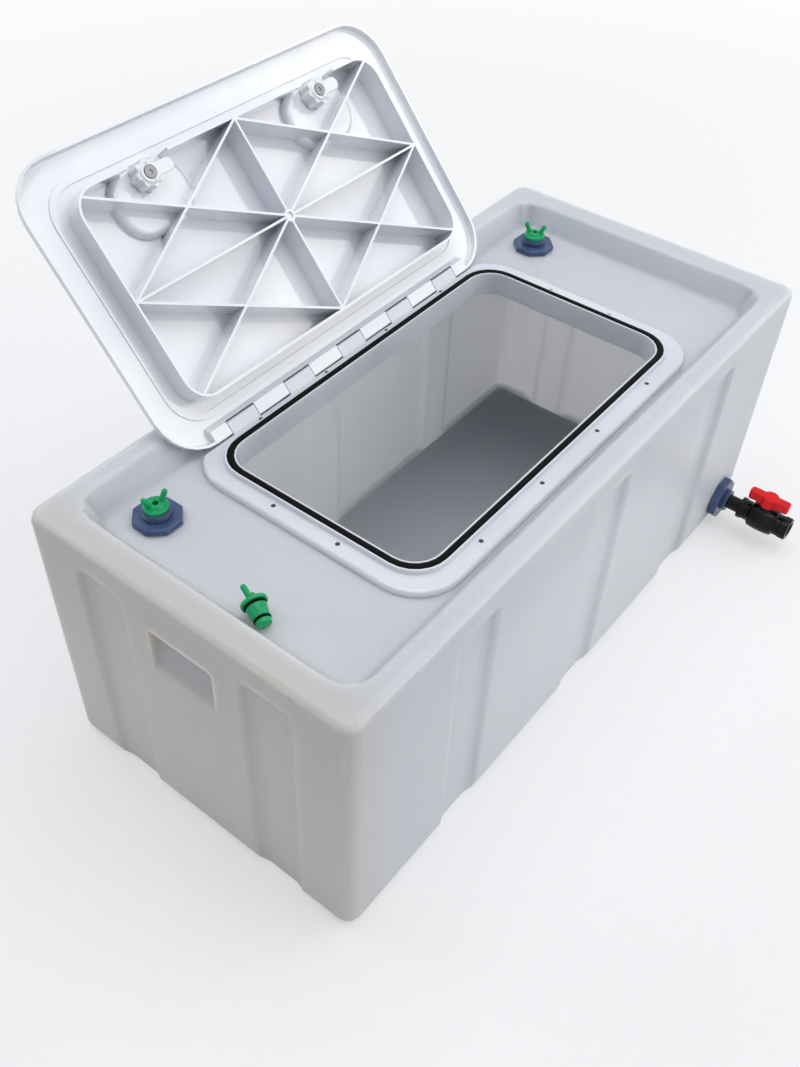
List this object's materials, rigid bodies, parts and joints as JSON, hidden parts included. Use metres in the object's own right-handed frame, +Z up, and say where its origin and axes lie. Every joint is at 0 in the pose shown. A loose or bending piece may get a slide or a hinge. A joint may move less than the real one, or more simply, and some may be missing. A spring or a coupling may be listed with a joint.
{
  "type": "live fish transport box",
  "caption": "Moulded tank for carrying live fish, with a hinged double-latched hatch standing open, plugged deck ports and a drain valve.",
  "frame": {"origin": "middle of the tank's flat underside", "axes": "+Z up, +X along the long side towards the drain valve's end, +Y from the drain side to the hinge side"},
  "size_m": [0.95, 0.7508, 0.631],
  "materials": {
    "tank_plastic": "satin milky polyethylene",
    "hatch_plastic": "glossy white",
    "lid_plastic": "glossy white",
    "seal_rubber": "matt black",
    "steel": "stainless",
    "navy_plastic": "satin",
    "green_plastic": "glossy",
    "black_plastic": "satin",
    "white_plastic": "satin",
    "red_plastic": "glossy"
  },
  "bodies": {
    "tank_body": {"tank": "tank_plastic", "hatch_frame": "hatch_plastic", "hatch_seal": "seal_rubber", "hinge_rod": "steel", "drain_connector": "navy_plastic", "drain_nut": "navy_plastic", "drain_gasket": "seal_rubber", "drain_pipe": "black_plastic", "valve_body": "black_plastic", "valve_union": "black_plastic", "valve_seat_inner": "white_plastic", "valve_seat_outer": "white_plastic", "frame_screw_01": "steel", "frame_screw_02": "steel", "frame_screw_03": "steel", "frame_screw_04": "steel", "frame_screw_05": "steel", "frame_screw_06": "steel", "frame_screw_07": "steel", "frame_screw_08": "steel", "frame_screw_09": "steel", "frame_screw_10": "steel", "frame_screw_11": "steel", "frame_screw_12": "steel", "port_left": "navy_plastic", "port_nut_left": "navy_plastic", "port_gasket_left": "seal_rubber", "port_right": "navy_plastic", "port_nut_right": "navy_plastic", "port_gasket_right": "seal_rubber"},
    "lid_body": {"lid": "lid_plastic", "latch_ring_left": "seal_rubber", "latch_ring_right": "seal_rubber"},
    "valve_handle_body": {"valve_handle": "red_plastic", "valve_stem": "black_plastic", "valve_stem_ring": "seal_rubber", "valve_ball": "white_plastic"},
    "latch_left_body": {"latch_handle_left": "lid_plastic", "latch_cam_left": "lid_plastic", "latch_screw_left": "steel"},
    "latch_right_body": {"latch_handle_right": "lid_plastic", "latch_cam_right": "lid_plastic", "latch_screw_right": "steel"},
    "plug_left_body": {"plug_left": "green_plastic", "plug_ring_upper_left": "seal_rubber", "plug_ring_lower_left": "seal_rubber"},
    "plug_right_body": {"plug_right": "green_plastic", "plug_ring_upper_right": "seal_rubber", "plug_ring_lower_right": "seal_rubber"},
    "plug_loose_body": {"plug_loose": "green_plastic", "plug_ring_upper_loose": "seal_rubber", "plug_ring_lower_loose": "seal_rubber"}
  },
  "joints": [
    {"name": "lid_hinge", "type": "hinge", "parent": "tank_body", "child": "lid_body", "pos_m": [0, 0.172, 0.362], "axis": [1, 0, 0], "range_deg": [0, 131]},
    {"name": "latch_left_twist", "type": "hinge", "parent": "lid_body", "child": "latch_left_body", "pos_m": [-0.145, 0.36029, 0.5786], "axis": [0, -0.7547, 0.6561], "range_deg": [0, 90]},
    {"name": "latch_right_twist", "type": "hinge", "parent": "lid_body", "child": "latch_right_body", "pos_m": [0.145, 0.36029, 0.5786], "axis": [0, -0.7547, 0.6561], "range_deg": [0, 90]},
    {"name": "plug_left_lift", "type": "slide", "parent": "tank_body", "child": "plug_left_body", "axis": [0, 0, 1], "range_m": [0, 0.06]},
    {"name": "plug_right_lift", "type": "slide", "parent": "tank_body", "child": "plug_right_body", "axis": [0, 0, 1], "range_m": [0, 0.06]},
    {"name": "plug_loose_lift", "type": "slide", "parent": "tank_body", "child": "plug_loose_body", "axis": [0, 0, 1], "range_m": [0, 0.15]},
    {"name": "valve_turn", "type": "hinge", "parent": "tank_body", "child": "valve_handle_body", "pos_m": [0.41, -0.302, 0.042], "axis": [0, 0, 1], "range_deg": [0, 90]}
  ]
}
